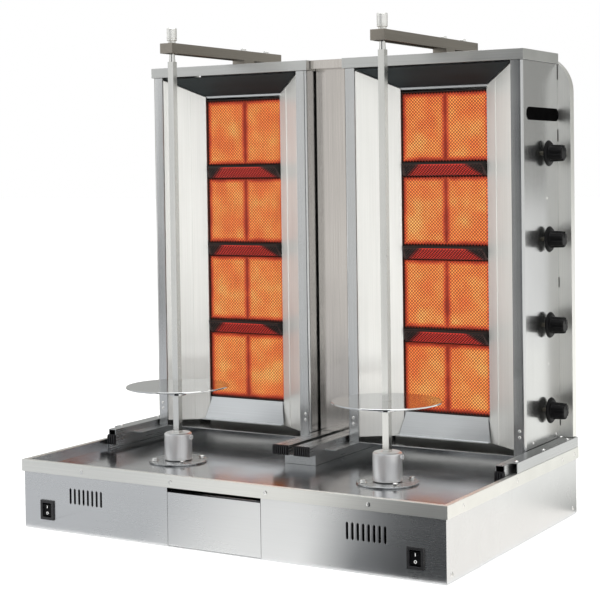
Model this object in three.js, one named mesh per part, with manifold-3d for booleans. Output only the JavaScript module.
// Twin vertical broiler: two gas-fired burner towers slide on rails over a shared drip pan,
// and each one roasts a motor-driven spit standing in front of it.
// Millimetres, +Z up, -Y is the front. The origin is under the middle of the base.
import * as THREE from "three";
import { mergeVertices } from "three/addons/utils/BufferGeometryUtils.js";
import Module from "manifold-3d";

const wasm = await Module();
wasm.setup();

// ---- Sizes -------------------------------------------------------------------------------
const SHEET = 1.5;
const GAP = 0.25;

// Base cabinet, and the drip pan that closes it from above
const BASE_X = 453;
const BASE_Y = 300;
const BASE_TOP = 109.75;
const PAN_FLOOR = 110;
const RIM_X = 457;
const RIM_Y = 304;
const RIM_TOP = 133.25;
const RIM_FLAT = 8;

// Drip drawer, left of centre in the front wall
const DRAWER_X0 = -111.5;
const DRAWER_X1 = 90.5;
const DRAWER_TOP = 101;

// Spit axes
const SPIT_X = 235;
const SPIT_Y = -90;
const CUP_R = 27.5;
const CUP_BOTTOM = 116.3;
const CUP_TOP = 170;
const ROD_SIDE = 13;
const ROD_BOTTOM = 153.3;
const DISC_R = 102;
const DISC_Z = 260;

// Towers: sheet housing, flange returns at the front, cap and back cover
const TOWER_X = 235;
const TOWER_HALF = 191.5;
const TOWER_Y0 = 106;
const TOWER_Y1 = 284;
const TOWER_Z0 = 140.75;
const TOWER_Z1 = 892;
const FLANGE = 24.5;
const CAP_Z0 = 891;
const CAP_Z1 = 911;
const CAP_HALF = 194;
const COVER_HALF = 218;
const COVER_Y1 = 304;

// Burner window, set back between the slanted wings
const WINDOW_HALF = 94;
const WINDOW_Y = 162;
const WINDOW_Z0 = 201;
const WINDOW_Z1 = 846;
const BURNER_PITCH = 166;
const BURNER_Z = 203;
const BURNER_H = 139;

// Gas knobs and valves
const KNOB_Y = 212;
const KNOB_Z = 216.5;
const KNOB_R = 25;

// Rails
const RAIL_Y0 = -42;
const RAIL_Y1 = 294;
const RAIL_TOP = 153;

// Top arm
const ARM_HALF = 15;
const ARM_Z0 = 922;
const ARM_Z1 = 942;
const TOWER_TRAVEL = 60;

// ---- Building blocks ---------------------------------------------------------------------
function solid(geometry) {
  geometry.deleteAttribute("normal");
  geometry.deleteAttribute("uv");
  const merged = mergeVertices(geometry, 1e-4);
  return new wasm.Manifold(
    new wasm.Mesh({
      numProp: 3,
      vertProperties: new Float32Array(merged.attributes.position.array),
      triVerts: new Uint32Array(merged.index.array),
    }),
  );
}

function box(x0, x1, y0, y1, z0, z1) {
  const g = new THREE.BoxGeometry(Math.abs(x1 - x0), Math.abs(y1 - y0), Math.abs(z1 - z0));
  g.translate((x0 + x1) / 2, (y0 + y1) / 2, (z0 + z1) / 2);
  return solid(g);
}

// A round bar from one end to the other along "x", "y" or "z"; r1 gives it a taper.
function round(axis, a, b, u, v, r, segments = 24, r1 = r) {
  const g = new THREE.CylinderGeometry(r1, r, b - a, segments);
  if (axis === "x") {
    g.rotateZ(-Math.PI / 2);
    g.translate((a + b) / 2, u, v);
  } else if (axis === "y") {
    g.translate(u, (a + b) / 2, v);
  } else {
    g.rotateX(Math.PI / 2);
    g.translate(u, v, (a + b) / 2);
  }
  return solid(g);
}

// A flat outline, drawn in plan, raised from z0 to z1, with openings cut through it.
function raised(points, z0, z1, holes = []) {
  const shape = new THREE.Shape(points.map(([x, y]) => new THREE.Vector2(x, y)));
  const g = new THREE.ExtrudeGeometry(shape, { depth: z1 - z0, bevelEnabled: false });
  g.translate(0, 0, z0);
  return holes.reduce((body, hole) => body.subtract(raised(hole, z0 - 1, z1 + 1)), solid(g));
}

// An outline drawn in the X-Z plane, given thickness from y0 to y1.
function upright(points, y0, y1, holes = []) {
  return raised(points, 0, y1 - y0, holes)
    .rotate([90, 0, 0])
    .translate([0, y1, 0]);
}

// An outline drawn in the Y-Z plane, given thickness from x0 to x1.
function sideways(points, x0, x1) {
  return raised(points, 0, x1 - x0)
    .rotate([90, 0, 90])
    .translate([x0, 0, 0]);
}

function rectangle(x0, x1, y0, y1) {
  return [
    [x0, y0],
    [x1, y0],
    [x1, y1],
    [x0, y1],
  ];
}

// A slot with round ends, standing upright.
function slot(cx, z0, z1, width, steps = 2) {
  const r = width / 2;
  const points = [];
  for (let i = 0; i <= steps; i++) {
    const a = (Math.PI * i) / steps;
    points.push([cx + r * Math.cos(a), z1 - r + r * Math.sin(a)]);
  }
  for (let i = 0; i <= steps; i++) {
    const a = Math.PI + (Math.PI * i) / steps;
    points.push([cx + r * Math.cos(a), z0 + r + r * Math.sin(a)]);
  }
  return points;
}

function ring(hx1, hy1, hx0, hy0, z0, z1) {
  return raised(rectangle(-hx1, hx1, -hy1, hy1), z0, z1, [rectangle(-hx0, hx0, -hy0, hy0)]);
}

function join(...parts) {
  return parts.reduce((a, b) => a.add(b));
}

function cut(body, ...tools) {
  return tools.reduce((a, b) => a.subtract(b), body);
}

const product = new THREE.Group();
product.name = "twin_vertical_broiler";

function keep(name, body, color, metalness = 0.85, roughness = 0.35) {
  const mesh = body.simplify(0.01).getMesh();
  const g = new THREE.BufferGeometry();
  g.setAttribute("position", new THREE.BufferAttribute(new Float32Array(mesh.vertProperties), 3));
  g.setIndex(new THREE.BufferAttribute(new Uint32Array(mesh.triVerts), 1));
  g.computeVertexNormals();
  const material = new THREE.MeshStandardMaterial({ color, metalness, roughness });
  const made = new THREE.Mesh(g, material);
  made.name = name;
  product.add(made);
}

// ---- Base cabinet ------------------------------------------------------------------------
// Folded stainless shell: front wall with two vent groups, switch holes and the drawer opening.
const SWITCH_X = 396;
const SWITCH_Z = 39;
const wallHoles = [];
for (const side of [-1, 1]) {
  for (let i = 0; i < 8; i++) {
    const vent = slot(side * 302.5 + (i - 3.5) * 10.5, 55.5, 86.5, 4.5);
    wallHoles.push(upright(vent, -BASE_Y - 1, -BASE_Y + 3));
  }
  for (let i = 0; i < 6; i++) {
    const vent = slot(side * 250 + (i - 2.5) * 12, 50, 84, 5);
    wallHoles.push(upright(vent, BASE_Y - 3, BASE_Y + 1));
  }
  const x = side * SWITCH_X;
  wallHoles.push(box(x - 13.5, x + 13.5, -BASE_Y - 1, -BASE_Y + 3, SWITCH_Z - 16.5, SWITCH_Z + 16.5));
}
const baseShell = cut(
  box(-BASE_X, BASE_X, -BASE_Y, BASE_Y, 0, BASE_TOP),
  box(-BASE_X + SHEET, BASE_X - SHEET, -BASE_Y + SHEET, BASE_Y - SHEET, SHEET, 120),
  box(-BASE_X + 22, BASE_X - 22, -BASE_Y + 22, BASE_Y - 22, -1, 2),
  box(DRAWER_X0 - 0.5, DRAWER_X1 + 0.5, -BASE_Y - 1, -BASE_Y + 4, 2, 120),
  round("y", BASE_Y - 5, BASE_Y + 5, 380, 40, 10.5, 20),
  ...wallHoles,
);
keep("base_shell", baseShell, "#c3c5c7");

// Bottom panel, laid on the shell's inward flange.
const FLOOR_TOP = 3.3;
keep("base_floor", box(-450, 450, -296, 297, SHEET + GAP, FLOOR_TOP), "#a9abad");

// Drip pan: shallow tray whose rim folds over the shell's top edge and hangs down outside it.
const panHoles = [-1, 1].map((s) => round("z", 100, 120, s * SPIT_X, SPIT_Y, 14, 24));
const drain = box(-70, 50, -252, -222, 100, 120);
const panBody = cut(
  join(
    box(-RIM_X + RIM_FLAT, RIM_X - RIM_FLAT, -RIM_Y + RIM_FLAT, RIM_Y - RIM_FLAT, PAN_FLOOR, PAN_FLOOR + SHEET),
    ring(RIM_X - 8, RIM_Y - 8, RIM_X - 9.5, RIM_Y - 9.5, PAN_FLOOR, RIM_TOP),
    ring(RIM_X, RIM_Y, RIM_X - 9.5, RIM_Y - 9.5, RIM_TOP - SHEET, RIM_TOP),
    ring(RIM_X, RIM_Y, RIM_X - SHEET, RIM_Y - SHEET, PAN_FLOOR, RIM_TOP),
  ),
  ...panHoles,
  drain,
);
keep("drip_pan", panBody, "#6f7173", 0.9, 0.25);
const PAN_SURFACE = PAN_FLOOR + SHEET;

// Cable gland in the back wall, for the supply lead.
keep(
  "cable_gland",
  cut(
    join(
      round("y", 284, 303.5, 380, 40, 9.8, 20),
      round("y", BASE_Y + GAP, 303.5, 380, 40, 14, 6),
      round("y", 292, BASE_Y - SHEET - GAP, 380, 40, 14, 6),
    ),
    round("y", 280, 310, 380, 40, 4.5, 16),
  ),
  "#2a2a2a",
  0,
  0.6,
);

// ---- Drip drawer -------------------------------------------------------------------------
const DRAWER_FACE = -BASE_Y + SHEET;
const drawerFront = cut(
  box(DRAWER_X0, DRAWER_X1, -BASE_Y, -BASE_Y + 14, 2.5, DRAWER_TOP),
  box(DRAWER_X0 + SHEET, DRAWER_X1 - SHEET, DRAWER_FACE, -BASE_Y + 15, 0, DRAWER_TOP - SHEET),
  box(DRAWER_X0 - 1, DRAWER_X1 + 1, DRAWER_FACE, -BASE_Y + 15, 0, FLOOR_TOP + GAP),
);
keep("drawer_front", drawerFront, "#bcbec0");

const TRAY_Y0 = DRAWER_FACE + GAP;
const TRAY_Y1 = 190;
const trayX0 = DRAWER_X0 + 6;
const trayX1 = DRAWER_X1 - 6;
const TRAY_Z0 = 5.3;
const drawerTray = cut(
  box(trayX0, trayX1, TRAY_Y0, TRAY_Y1, TRAY_Z0, 72),
  box(trayX0 + SHEET, trayX1 - SHEET, TRAY_Y0 + SHEET, TRAY_Y1 - SHEET, TRAY_Z0 + SHEET, 80),
);
const runners = [trayX0 + 20, trayX1 - 20].map((x) =>
  box(x - 6, x + 6, TRAY_Y0 + 12, TRAY_Y1 - 12, FLOOR_TOP + GAP, TRAY_Z0 + 0.5),
);
keep("drawer_tray", join(drawerTray, ...runners), "#8f9193");

// ---- Switches ----------------------------------------------------------------------------
for (const [side, word] of [
  [-1, "left"],
  [1, "right"],
]) {
  const x = side * SWITCH_X;
  const bezel = box(x - 16, x + 16, -303.3, -BASE_Y - GAP, SWITCH_Z - 19, SWITCH_Z + 19);
  const can = box(x - 13, x + 13, -BASE_Y - 0.5, -272, SWITCH_Z - 16, SWITCH_Z + 16);
  const pocket = box(x - 10.5, x + 10.5, -310, -284, SWITCH_Z - 13.5, SWITCH_Z + 13.5);
  keep("switch_body_" + word, cut(join(bezel, can), pocket), "#1d1d1f", 0, 0.5);
  const rocker = sideways(
    [
      [-301.8, SWITCH_Z - 11.2],
      [-300.4, SWITCH_Z],
      [-301.8, SWITCH_Z + 11.2],
      [-295, SWITCH_Z + 10.2],
      [-288, SWITCH_Z + 4.5],
      [-288, SWITCH_Z - 4.5],
      [-295, SWITCH_Z - 10.2],
    ],
    x - 10.1,
    x + 10.1,
  );
  keep("switch_rocker_" + word, rocker, "#111113", 0, 0.4);
}

// ---- Rails and the beam between the towers -----------------------------------------------
// Outer rail: box section on a leg, a ledge under the tower, and a cover strip on the pan rim.
for (const [side, word] of [
  [-1, "left"],
  [1, "right"],
]) {
  const section = cut(
    box(428.5, 446.5, RAIL_Y0, RAIL_Y1, 122, RAIL_TOP),
    box(428.5 + SHEET, 446.5 - SHEET, RAIL_Y0 - 1, RAIL_Y1 + 1, 122 + SHEET, RAIL_TOP - SHEET),
  );
  const rail = join(
    section,
    box(444, 446.5, RAIL_Y0, RAIL_Y1, PAN_SURFACE + GAP, 122.5),
    box(404, 429, RAIL_Y0 + 60, RAIL_Y1, 138.5, 140.5),
    box(440, RIM_X, -8, BASE_Y, RAIL_TOP - SHEET, RAIL_TOP),
    box(RIM_X - SHEET, RIM_X, -8, BASE_Y, RIM_TOP + GAP, RAIL_TOP),
  );
  keep("rail_" + word, side < 0 ? rail.mirror([1, 0, 0]) : rail, "#b9bbbd");
}

// Centre beam: wide box on the pan floor carrying the two inner rails side by side.
function innerRail(side) {
  const body = cut(
    box(8, 40, RAIL_Y0, RAIL_Y1, 135.5, RAIL_TOP),
    box(8 + SHEET, 40 - SHEET, RAIL_Y0 - 1, RAIL_Y1 + 1, 135.5 + SHEET, RAIL_TOP - SHEET),
  );
  const whole = join(body, box(39.5, 66, RAIL_Y0 + 60, RAIL_Y1, 138.5, 140.5));
  return side < 0 ? whole.mirror([1, 0, 0]) : whole;
}
const beamBox = cut(
  box(-35, 35, -10, RAIL_Y1, PAN_SURFACE + GAP, 134.2),
  box(-35 + SHEET, 35 - SHEET, -10 + SHEET, RAIL_Y1 + 1, 100, 134.2 - SHEET),
);
const beamPlate = box(-40, 40, RAIL_Y0, RAIL_Y1, 134, 135.7);
keep("centre_beam", join(beamBox, beamPlate, innerRail(-1), innerRail(1)), "#b4b6b8");

// Infill between the towers: folded panel with a boxed top, standing on the inner rails.
const infill = cut(
  join(
    box(-40, 40, 141, 200, RAIL_TOP + GAP, 900),
    box(-40, 40, 118, 200, 893.5, CAP_Z1),
  ),
  box(-40 + SHEET, 40 - SHEET, 141 + SHEET, 201, RAIL_TOP - 1, CAP_Z1 - SHEET),
  box(-40 + SHEET, 40 - SHEET, 118 + SHEET, 201, 893.5 + SHEET, CAP_Z1 - SHEET),
);
keep("infill_panel", infill, "#8d8f90", 0.95, 0.2);

// ---- Spit drives -------------------------------------------------------------------------
for (const [side, word] of [
  [-1, "left"],
  [1, "right"],
]) {
  const x = side * SPIT_X;
  const y = SPIT_Y;
  const motor = join(
    box(x - 45, x + 45, y - 34, y + 34, 62, 98),
    box(x - 40, x - 30, y - 30, y + 30, 97, PAN_FLOOR - GAP),
    box(x + 30, x + 40, y - 30, y + 30, 97, PAN_FLOOR - GAP),
    round("z", 12, 63, x + 8, y + 2, 29, 28),
    round("z", 97, 104, x, y, 12, 24),
    round("z", 103, 150, x, y, 7, 20),
  );
  keep("gear_motor_" + word, motor, "#55585b", 0.6, 0.5);

  const bolts = [45, 135, 225, 315].map((deg) => {
    const a = (deg * Math.PI) / 180;
    return round("z", 114, 120.5, x + 47 * Math.cos(a), y + 47 * Math.sin(a), 5.5, 6);
  });
  const flange = cut(
    join(round("z", PAN_SURFACE + GAP, 115, x, y, 58, 32), ...bolts),
    round("z", 105, 130, x, y, 10, 20),
  );
  keep("bearing_flange_" + word, flange, "#a8aaac");

  const cup = cut(
    join(
      round("z", CUP_BOTTOM, CUP_TOP - 3, x, y, CUP_R, 28),
      round("z", CUP_TOP - 3, CUP_TOP, x, y, CUP_R, 28, CUP_R - 3),
      round("y", y - CUP_R - 4, y - 15, x, 150, 4.5, 12),
    ),
    round("z", CUP_BOTTOM - 1, 152, x, y, 7.4, 20),
    box(x - 6.9, x + 6.9, y - 6.9, y + 6.9, 151, CUP_TOP + 1),
  );
  keep("drive_cup_" + word, cup, "#d4d5d6", 0.9, 0.2);

  const half = ROD_SIDE / 2;
  const rod = join(
    box(x - half, x + half, y - half, y + half, ROD_BOTTOM, 906),
    round("z", 905, 914, x, y, 6.5, 20, 5.5),
    round("z", 913.5, 963, x, y, 5.5, 20),
  );
  keep("spit_rod_" + word, rod, "#dcdcda", 0.9, 0.2);

  const disc = cut(
    join(round("z", DISC_Z, DISC_Z + 3, x, y, DISC_R, 48), round("z", DISC_Z - 16, DISC_Z + 1, x, y, 17, 20)),
    box(x - 6.9, x + 6.9, y - 6.9, y + 6.9, 200, 300),
  );
  keep("spit_disc_" + word, disc, "#c9cbcc", 0.95, 0.12);

  const nut = cut(
    join(round("z", ARM_Z1 + GAP, 948, x, y, 7.6, 24), round("z", 947.5, 973, x, y, 10, 28)),
    round("z", 930, 964, x, y, 5.8, 20),
  );
  keep("spit_nut_" + word, nut, "#d8d8d6", 0.9, 0.25);
}

// ---- Towers ------------------------------------------------------------------------------
// Everything is drawn about the tower's own middle plane with the gas valves on +X, then set in
// place; the left tower is the mirror image.
function place(body, side) {
  const turned = side < 0 ? body.mirror([1, 0, 0]) : body;
  return turned.translate([side * TOWER_X, 0, 0]);
}

// Side sheet with a rounded front corner and an inward return, in plan.
function cheek() {
  const r = 6;
  const outer = [];
  const inner = [];
  for (let i = 0; i <= 4; i++) {
    const a = (-Math.PI / 2) * (1 - i / 4);
    outer.push([TOWER_HALF - r + r * Math.cos(a), TOWER_Y0 + r + r * Math.sin(a)]);
    inner.push([TOWER_HALF - r + (r - SHEET) * Math.cos(a), TOWER_Y0 + r + (r - SHEET) * Math.sin(a)]);
  }
  return [
    [TOWER_HALF - FLANGE, TOWER_Y0],
    ...outer,
    [TOWER_HALF, TOWER_Y1],
    [TOWER_HALF - 16, TOWER_Y1],
    [TOWER_HALF - 16, TOWER_Y1 - SHEET],
    [TOWER_HALF - SHEET, TOWER_Y1 - SHEET],
    ...inner.reverse(),
    [TOWER_HALF - FLANGE, TOWER_Y0 + SHEET],
  ];
}

const knobHeights = [0, 1, 2, 3].map((i) => KNOB_Z + i * BURNER_PITCH);
const rightCheek = raised(cheek(), TOWER_Z0, TOWER_Z1 - 2);
const towerShell = cut(
  join(
    rightCheek,
    rightCheek.mirror([1, 0, 0]),
    box(-TOWER_HALF + 0.75, TOWER_HALF - 0.75, TOWER_Y0 + 6, TOWER_Y1 - 0.75, TOWER_Z0, TOWER_Z0 + SHEET),
    box(-TOWER_HALF + 4, TOWER_HALF - 4, TOWER_Y0 + 1, TOWER_Y0 + 8, TOWER_Z0, TOWER_Z0 + SHEET),
  ),
  ...knobHeights.map((z) => round("x", 180, 200, KNOB_Y, z, 7, 16)),
);

const capSkirt = cut(
  box(-CAP_HALF, CAP_HALF, TOWER_Y0 - 2.5, TOWER_Y1 - GAP, CAP_Z0 - 0.5, CAP_Z1),
  box(-CAP_HALF + SHEET, CAP_HALF - SHEET, TOWER_Y0 - 2.5 + SHEET, TOWER_Y1 + 1, 880, CAP_Z1 - SHEET),
);

// Back cover: wide shallow tray with big rounded upper corners and a flat front return.
function coverOutline(inset) {
  const r = 75 - inset;
  const half = COVER_HALF - inset;
  const top = CAP_Z1 - inset;
  const points = [
    [-half, 154 + inset],
    [half, 154 + inset],
  ];
  for (let i = 0; i <= 10; i++) {
    const a = (Math.PI / 2) * (i / 10);
    points.push([half - r + r * Math.cos(a), top - r + r * Math.sin(a)]);
  }
  for (let i = 0; i <= 10; i++) {
    const a = Math.PI / 2 + (Math.PI / 2) * (i / 10);
    points.push([-half + r + r * Math.cos(a), top - r + r * Math.sin(a)]);
  }
  return points;
}
const COVER_Y0 = TOWER_Y1 + GAP;
const INLET_X = 150;
const INLET_Z = 182;
const coverVents = [];
for (const row of [300, 480, 660]) {
  for (let i = 0; i < 5; i++) coverVents.push(slot(-48 + i * 24, row, row + 60, 9));
}
const backCover = cut(
  upright(coverOutline(0), COVER_Y0, COVER_Y1),
  upright(coverOutline(SHEET), COVER_Y0 + SHEET, COVER_Y1 - SHEET),
  box(-170, 170, COVER_Y0 - 1, COVER_Y0 + 3, 196, 850),
  round("y", 280, 310, INLET_X, INLET_Z, 12, 20),
  ...coverVents.map((vent) => upright(vent, COVER_Y1 - 3, COVER_Y1 + 1)),
);

// Slanted wing: from behind the flange return back to the window edge, with a doubled inner strip.
const WING_Y0 = TOWER_Y0 + SHEET + GAP;
const wingLength = Math.hypot(TOWER_HALF - FLANGE - WINDOW_HALF, WINDOW_Y - WING_Y0);
const wingAngle = (Math.atan2(WINDOW_Y - WING_Y0, TOWER_HALF - FLANGE - WINDOW_HALF) * 180) / Math.PI;
function wing() {
  const lowest = TOWER_Z0 + 12;
  const sheet = upright(
    [
      [0, lowest],
      [wingLength, lowest],
      [wingLength, WINDOW_Z1 + 2],
      [0, CAP_Z0 - 6],
    ],
    0,
    SHEET,
  );
  const strip = upright(
    [
      [wingLength - 33, lowest],
      [wingLength, lowest],
      [wingLength, WINDOW_Z1 + 2],
      [wingLength - 33, WINDOW_Z1 + 15],
    ],
    -1,
    0.5,
  );
  return join(sheet, strip)
    .rotate([0, 0, wingAngle])
    .translate([-TOWER_HALF + FLANGE, WING_Y0 + 1.3, 0]);
}

// Hood: dark soffit sloping back from the cap to the top of the window, drawn on its side.
const hoodAngle = (Math.atan2(CAP_Z0 - 4 - (WINDOW_Z1 + 4), WINDOW_Y - WING_Y0) * 180) / Math.PI;
const hoodLength = Math.hypot(CAP_Z0 - 4 - (WINDOW_Z1 + 4), WINDOW_Y - WING_Y0);
const hood = raised(
  [
    [-(TOWER_HALF - FLANGE) + 1, 0],
    [TOWER_HALF - FLANGE - 1, 0],
    [WINDOW_HALF + 1, hoodLength],
    [-WINDOW_HALF - 1, hoodLength],
  ],
  0,
  SHEET,
)
  .rotate([-hoodAngle, 0, 0])
  .translate([0, WING_Y0, CAP_Z0 - 4]);

// Burner frame: plate round the window, with the apron sloping forward below it.
const FRAME_Y = WINDOW_Y + 3;
const framePlate = upright(
  rectangle(-WINDOW_HALF - 22, WINDOW_HALF + 22, 160, 872),
  FRAME_Y,
  FRAME_Y + SHEET,
  [rectangle(-WINDOW_HALF, WINDOW_HALF, WINDOW_Z0, WINDOW_Z1)],
);
const apronAngle = (Math.atan2(14, WINDOW_Z0 - 156) * 180) / Math.PI;
const apronLength = Math.hypot(14, WINDOW_Z0 - 156);
const apron = upright(
  [
    [-WINDOW_HALF - 5, 0],
    [WINDOW_HALF + 5, 0],
    [WINDOW_HALF - 5, apronLength],
    [-WINDOW_HALF + 5, apronLength],
  ],
  0,
  SHEET,
)
  .rotate([-apronAngle, 0, 0])
  .translate([0, FRAME_Y - 14.5, 156]);
const apronLip = box(-WINDOW_HALF - 5, WINDOW_HALF + 5, FRAME_Y - 26, FRAME_Y - 12, 154.5, 156.3);
const apronFoot = box(-60, 60, FRAME_Y - 13, FRAME_Y + SHEET, 159, 161.5);
const burnerFrame = join(framePlate, apron, apronLip, apronFoot);

// Gas manifold: riser pipe, four valves with spindles through the side sheet, and the inlet pipe.
const SPINDLE_END = TOWER_HALF + 30;
const manifold = join(
  round("z", INLET_Z - 9, 770, 168, 246, 9, 12),
  ...knobHeights.map((z) =>
    join(
      box(154, 180, KNOB_Y - 13, KNOB_Y + 13, z - 13, z + 13),
      box(160, 176, KNOB_Y + 12, 246, z - 8, z + 8),
      round("x", 179, 186, KNOB_Y, z, 9, 12),
      round("x", 185, SPINDLE_END, KNOB_Y, z, 4, 12),
      round("x", 148, 155, KNOB_Y, z, 5, 8),
    ),
  ),
  round("x", INLET_X, 168, 246, INLET_Z, 9, 12),
  round("y", 246, 303.6, INLET_X, INLET_Z, 9, 20),
  round("z", INLET_Z - 9, INLET_Z + 9, INLET_X, 246, 9, 12),
);

// Infrared burner: sheet box with a recessed pair of ceramic plates, and a mixing tube to its valve.
function burner(index) {
  const z0 = BURNER_Z + index * BURNER_PITCH;
  const y0 = FRAME_Y + SHEET + GAP;
  const parts = [
    cut(
      box(-99, 99, y0, 216, z0 - 2, z0 + BURNER_H + 2),
      box(-93, 93, y0 - 1, 184, z0 + 0.5, z0 + BURNER_H - 0.5),
      box(-90, 90, 183, 214, z0 + 6, z0 + BURNER_H - 6),
    ),
    box(-93.5, -0.6, 172, 185, z0 + 3.5, z0 + BURNER_H - 3.5),
    box(0.6, 93.5, 172, 185, z0 + 3.5, z0 + BURNER_H - 3.5),
    box(-2, 2, 173, 186, z0, z0 + BURNER_H),
  ];
  const tube = cut(
    round("x", 88, 140, KNOB_Y - 12, KNOB_Z + index * BURNER_PITCH, 10, 14),
    round("x", 80, 141, KNOB_Y - 12, KNOB_Z + index * BURNER_PITCH, 8, 14),
  );
  parts[0] = cut(parts[0], round("x", 89, 110, KNOB_Y - 12, KNOB_Z + index * BURNER_PITCH, 8, 14));
  parts.push(tube);
  if (index < 3) {
    const zt = z0 + BURNER_H;
    parts.push(
      sideways(
        [
          [y0 + 0.5, zt],
          [y0 + 0.5, zt + 24.5],
          [152, zt + 24.5],
          [152, zt + 22.5],
        ],
        -WINDOW_HALF + 2,
        WINDOW_HALF - 2,
      ),
    );
  }
  return join(...parts);
}

// Knob: flared skirt and a fluted grip on the valve spindle.
function knob(z) {
  const x = TOWER_HALF + 7.5;
  let body = join(
    round("x", x, x + 6, KNOB_Y, z, KNOB_R, 28, KNOB_R - 3),
    round("x", x + 5.5, x + 33, KNOB_Y, z, 16.5, 20, 15.5),
    box(x + 20, x + 34, KNOB_Y - 1.2, KNOB_Y + 1.2, z + 3, z + 15),
  );
  for (let i = 0; i < 6; i++) {
    const a = (Math.PI * 2 * (i + 0.5)) / 6;
    body = cut(body, round("x", x + 10, x + 40, KNOB_Y + 18.5 * Math.cos(a), z + 18.5 * Math.sin(a), 4, 8));
  }
  return cut(body, round("x", x - 1, SPINDLE_END + 0.5, KNOB_Y, z, 4.3, 12));
}

// Top arm: channel bar bolted to the cap, slotted so the tower can slide while the spit stays put.
const ARM_Y0 = SPIT_Y - 20;
const armBody = cut(
  join(
    cut(
      box(-ARM_HALF, ARM_HALF, ARM_Y0, 300, ARM_Z0, ARM_Z1),
      box(-ARM_HALF + 2.5, ARM_HALF - 2.5, ARM_Y0 + 2.5, 297.5, ARM_Z0 - 1, ARM_Z1 - 2.5),
    ),
    box(-ARM_HALF, ARM_HALF, 150, 190, CAP_Z1 + GAP, ARM_Z1 - 1),
    box(-ARM_HALF, ARM_HALF, 240, 280, CAP_Z1 + GAP, ARM_Z1 - 1),
  ),
  box(-6.1, 6.1, SPIT_Y - 6.2, SPIT_Y + 6.8 + TOWER_TRAVEL, 930, 950),
);

for (const [side, word] of [
  [-1, "left"],
  [1, "right"],
]) {
  const at = (name, body, ...look) => keep(name + "_" + word, place(body, side), ...look);
  at("tower_shell", towerShell, "#c9cbcc");
  at("tower_cap", capSkirt, "#aeb0b1");
  at("back_cover", backCover, "#cfd0d0");
  at("wing_outer", wing().mirror([1, 0, 0]), "#dadad6");
  at("wing_inner", wing(), "#d2d2ce");
  at("hood", hood, "#3a3a36", 0.7, 0.5);
  at("burner_frame", burnerFrame, "#c6c7c7");
  at("gas_manifold", manifold, "#b3a77e", 0.8, 0.4);
  at("top_arm", armBody, "#a39d94");
  for (let i = 0; i < 4; i++) {
    keep("burner_" + word + "_" + (i + 1), place(burner(i), side), "#e8743a", 0, 0.8);
    keep("knob_" + word + "_" + (i + 1), place(knob(knobHeights[i]), side), "#161617", 0, 0.45);
  }
}

export default product;
